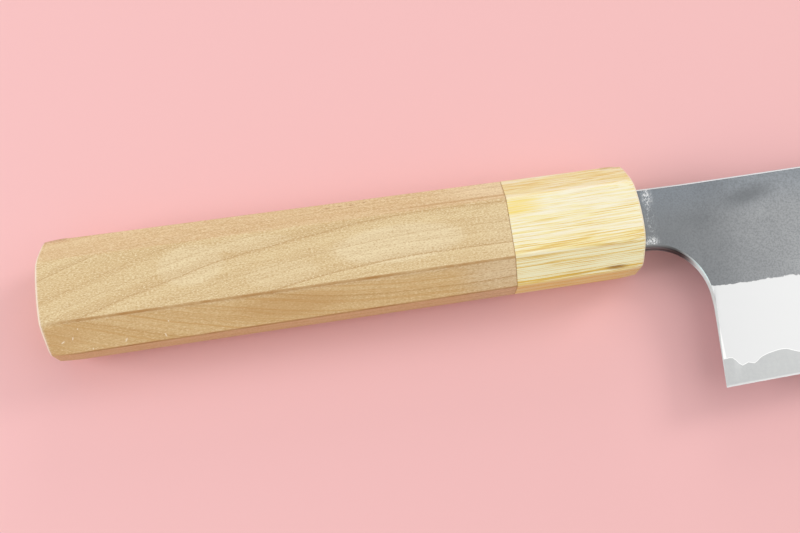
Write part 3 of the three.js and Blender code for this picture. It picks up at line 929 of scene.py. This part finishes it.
def easeHandlePiece(node, settings):
    bm = startFromNode(node)
    ridgeTint = bm.verts.layers.float.new("easedRidge")
    endRimHighlight = bm.verts.layers.float.new("endRimHighlight")
    coplanar = math.radians(settings["coplanar"])
    bmesh.ops.dissolve_limit(bm, angle_limit=coplanar, verts=bm.verts, edges=bm.edges)

    leastTurn, mostTurn = settings["ridgeTurn"]
    ridges = [e for e in bm.edges
              if leastTurn < outwardTurn(e) < mostTurn
              and abs(e.verts[0].co.x - e.verts[1].co.x) > settings["ridgeRun"]]
    eased = roundEdges(bm, ridges, settings["ridge"], settings["ridgeSteps"])
    strip = set(eased["faces"])
    for vert in eased["verts"]:
        fromRim = min(vert.co.x - buttX, mouthX - vert.co.x)
        sides = [face for face in vert.link_faces if abs(face.normal.x) < settings["endFacing"]]
        inside = all(face in strip for face in sides)
        vert[ridgeTint] = min(fromRim / settings["ridgeFade"], 1.0) if inside else 0.0

    seam = [e for e in bm.edges
            if all(abs(v.co.x - seamX) < mergeDistance for v in e.verts)
            and outwardTurn(e) > mostTurn]
    roundEdges(bm, seam, settings["seam"], settings["seamSteps"])

    bm.normal_update()
    # How far each vertex faces an end, for the painted highlight on the rims
    start, top, stop = settings["rimHighlightFacing"]
    for vert in bm.verts:
        facing = abs(vert.normal.x)
        rise = min((facing - start) / (top - start), (stop - facing) / (stop - top))
        vert[endRimHighlight] = max(rise, 0.0) if abs(vert.co.x - seamX) > settings["ridge"] else 0.0
    for edge in bm.edges:
        edge.smooth = edge.calc_face_angle(0) < math.radians(settings["sharp"])
    print("handle:", node, len(ridges), "ridge edges,", len(seam), "seam edges")
    return bm


easedGrip = easeHandlePiece("grip", handleEasing)
finishPiece(easedGrip, "wooden_grip", "grip", gripWood)
easedFerrule = easeHandlePiece("ferrule", handleEasing)
finishPiece(easedFerrule, "wooden_ferrule", "ferrule", ferruleWood)


# Blade layers

bladeShading = {
    "sharp": 50.0,  # degrees
    "creaseTurn": (1.0, 20.0),  # degrees by which the side turns at the shinogi
    "broad": 0.95,  # how far a face of the blade's side faces outwards, at least
    "bevelLean": 0.03,  # how far a bevel's normal leans to the edge, at least
    "wedge": 150.0,  # degrees by which the cladding turns back at the weld's line
}
pointDigits = 7  # decimals of a metre that tell two vertices apart
leastStep = 1e-9  # metres, so that two vertices at one x don't divide by 0


def lineThrough(points):
    # Height of a line of vertices over any x between its ends.
    points = sorted(points)
    xs = [p[0] for p in points]

    def heightAt(x):
        i = min(max(bisect_right(xs, x), 1), len(xs) - 1)
        (x0, y0), (x1, y1) = points[i - 1], points[i]
        share = min(max((x - x0) / max(x1 - x0, leastStep), 0), 1)
        return y0 + (y1 - y0) * share

    return heightAt


def edgePoints(edges):
    ends = [v.co for e in edges for v in e.verts]
    return {(round(end.x, pointDigits), round(end.y, pointDigits)) for end in ends}


def isCrease(edge, settings):
    # The shinogi runs along the blade, between a face of the flat and one of the bevel.
    run = edge.verts[1].co - edge.verts[0].co
    turn = math.degrees(edge.calc_face_angle(0))
    outward = math.copysign(1, edge.verts[0].co.z - axisZ)
    broad = all(face.normal.z * outward > settings["broad"] for face in edge.link_faces)
    leans = {-face.normal.y > settings["bevelLean"] for face in edge.link_faces}
    leastTurn, mostTurn = settings["creaseTurn"]
    alongBlade = abs(run.x) > abs(run.y) and leastTurn < turn < mostTurn
    return broad and alongBlade and len(leans) == 2


def markSharp(bm, settings):
    sharp = math.radians(settings["sharp"])
    for edge in bm.edges:
        edge.smooth = edge.calc_face_angle(0) < sharp and not isCrease(edge, settings)


def markHeights(bm, name, heightAt):
    layer = bm.verts.layers.float.new(name)
    for vert in bm.verts:
        vert[layer] = (vert.co.y - heightAt(vert.co.x)) / mm


def markNarrowFaces(bm):
    # 1 on the spine, choil and heel faces, 0 on the broad faces.
    layer = bm.faces.layers.float.new("narrowFace")
    for face in bm.faces:
        face[layer] = 1 - abs(face.normal.z)


def makeCladding(node, name, settings):
    bm = startFromNode(node)
    bm.normal_update()
    creases = [e for e in bm.edges if isCrease(e, settings)]
    wedges = [e for e in bm.edges if e.calc_face_angle(0) > math.radians(settings["wedge"])]
    lamination = lineThrough(edgePoints(wedges))
    markHeights(bm, "overShinogi", lineThrough(edgePoints(creases)))
    markHeights(bm, "overLamination", lamination)
    markNarrowFaces(bm)
    markSharp(bm, settings)
    print("cladding:", name, len(creases), "crease edges,", len(wedges), "weld edges")
    finishPiece(bm, name, node, claddingSteel)
    return lamination


def makeCore(laminations, settings):
    bm = startFromNode("blade_core")
    bm.normal_update()
    layer = bm.verts.layers.float.new("overLamination")
    keen = bm.verts.layers.float.new("keenEdge")
    for vert in bm.verts:
        side = "right" if vert.co.z > axisZ else "left"
        vert[layer] = (vert.co.y - laminations[side](vert.co.x)) / mm
        vert[keen] = 1.0 if abs(vert.co.z - axisZ) < mergeDistance else 0.0
    markNarrowFaces(bm)
    markSharp(bm, settings)
    finishPiece(bm, "core_layer", "blade_core", coreSteel)


welds = {
    "right": makeCladding("cladding_right", "right_cladding", bladeShading),
    "left": makeCladding("cladding_left", "left_cladding", bladeShading),
}
makeCore(welds, bladeShading)


# Hidden pieces keep their solids and get their own finish

for hiddenNode, hiddenFinish in {"handle_dowel": dowelWood, "tang_resin": amberResin}.items():
    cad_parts[hiddenNode].material_slots[0].material = hiddenFinish
print("hidden: dowel and resin finished")
